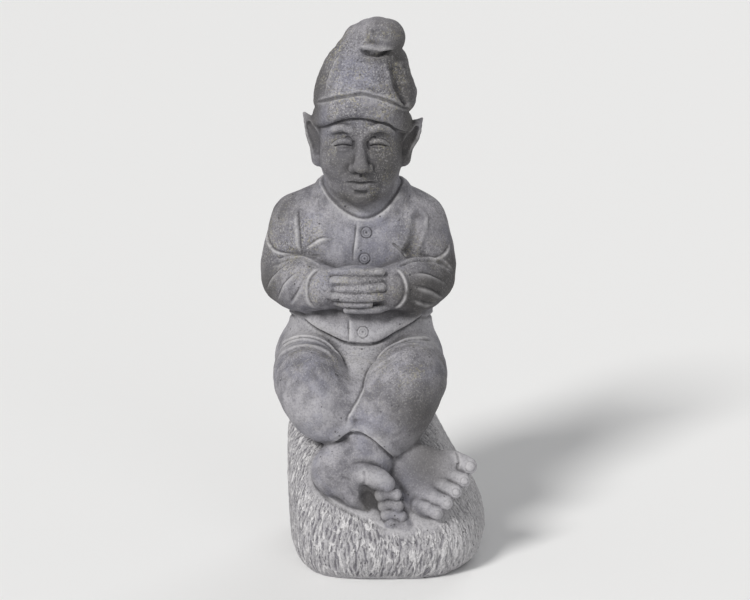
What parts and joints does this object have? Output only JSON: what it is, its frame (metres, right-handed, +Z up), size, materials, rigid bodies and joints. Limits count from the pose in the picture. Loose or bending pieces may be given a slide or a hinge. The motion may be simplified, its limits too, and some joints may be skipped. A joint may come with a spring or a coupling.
{
  "type": "goblin statue",
  "caption": "Carved grey stone goblin in a floppy hat and buttoned jacket, sitting cross-legged with folded hands on a rough boulder, standing on its flat sawn underside.",
  "frame": {"origin": "centre of the whole object's box, on the floor, in the plane of the sawn underside", "axes": "+Z up, -Y the way the figure faces, +X to the figure's left"},
  "size_m": [0.258, 0.2714, 0.6005],
  "materials": {
    "grey_stone": "matt weathered grey volcanic stone, finely tooled, with pale chisel marks on the boulder"
  },
  "bodies": {
    "root": {"goblin_statue": "grey_stone"}
  },
  "joints": []
}
